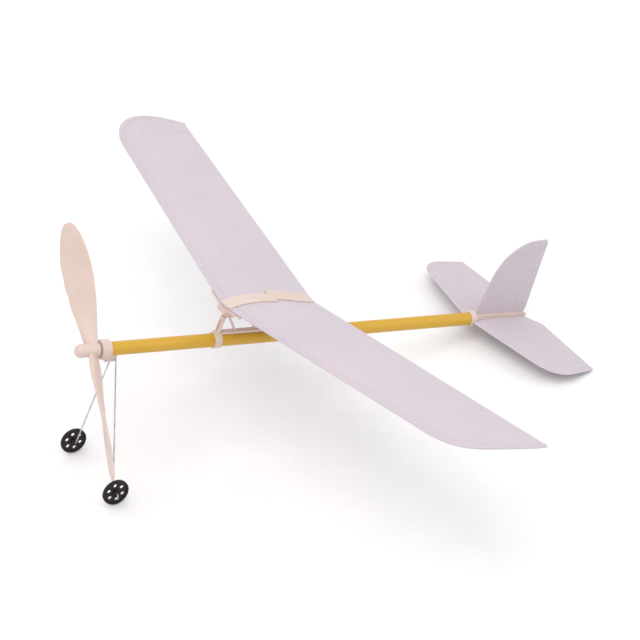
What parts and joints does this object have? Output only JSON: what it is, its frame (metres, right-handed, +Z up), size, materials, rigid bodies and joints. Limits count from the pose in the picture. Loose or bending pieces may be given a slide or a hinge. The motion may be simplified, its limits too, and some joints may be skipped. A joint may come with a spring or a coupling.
{
  "type": "rubber band plane",
  "caption": "Free-flight toy plane: rubber motor in a tube fuselage, two-blade propeller, foam wing on a sliding pylon, foam tail and wire landing gear.",
  "frame": {"origin": "bottom centre of the whole model's box, on the floor that it stands on", "axes": "+Z up with the plane standing on its wheels and tail, nose towards -X and up, +Y to starboard"},
  "size_m": [0.3907, 0.487, 0.1673],
  "materials": {
    "foam": "pressed foam sheet, soft satin",
    "moulded_plastic": "cream injection moulding, satin",
    "tube_plastic": "yellow plastic tube, satin",
    "wheel_plastic": "charcoal moulding",
    "steel_wire": "drawn music wire",
    "motor_rubber": "tan rubber strip",
    "brass": "stamped washer"
  },
  "bodies": {
    "fuselage": {"fuselage_tube": "tube_plastic", "nose_collar": "moulded_plastic", "nose_plug": "moulded_plastic", "rear_hook": "steel_wire", "rubber_motor": "motor_rubber", "tail_boom": "moulded_plastic", "fin": "foam", "stabiliser_left": "foam", "stabiliser_right": "foam", "landing_gear_wire": "steel_wire"},
    "propeller_group": {"propeller": "moulded_plastic", "spinner_cap": "moulded_plastic", "propeller_shaft": "steel_wire", "thrust_washer": "brass"},
    "wing_group": {"wing_pylon": "moulded_plastic", "wing_joiner": "moulded_plastic", "wing_left": "foam", "wing_right": "foam"},
    "left_wheel": {"wheel_left": "wheel_plastic"},
    "right_wheel": {"wheel_right": "wheel_plastic"}
  },
  "joints": [
    {"name": "propeller_spin", "type": "hinge", "parent": "fuselage", "child": "propeller_group", "pos_m": [-0.17537, 0, 0.10427], "axis": [-0.9602, 0, 0.2793], "continuous": true, "deforming": ["rubber_motor"]},
    {"name": "wing_trim", "type": "slide", "parent": "fuselage", "child": "wing_group", "axis": [0.9602, 0, -0.2793], "range_m": [-0.015, 0.015]},
    {"name": "left_wheel_spin", "type": "hinge", "parent": "fuselage", "child": "left_wheel", "pos_m": [-0.1826, -0.033, 0.00994], "axis": [0, 1, 0], "continuous": true},
    {"name": "right_wheel_spin", "type": "hinge", "parent": "fuselage", "child": "right_wheel", "pos_m": [-0.1826, 0.033, 0.00994], "axis": [0, 1, 0], "continuous": true}
  ]
}
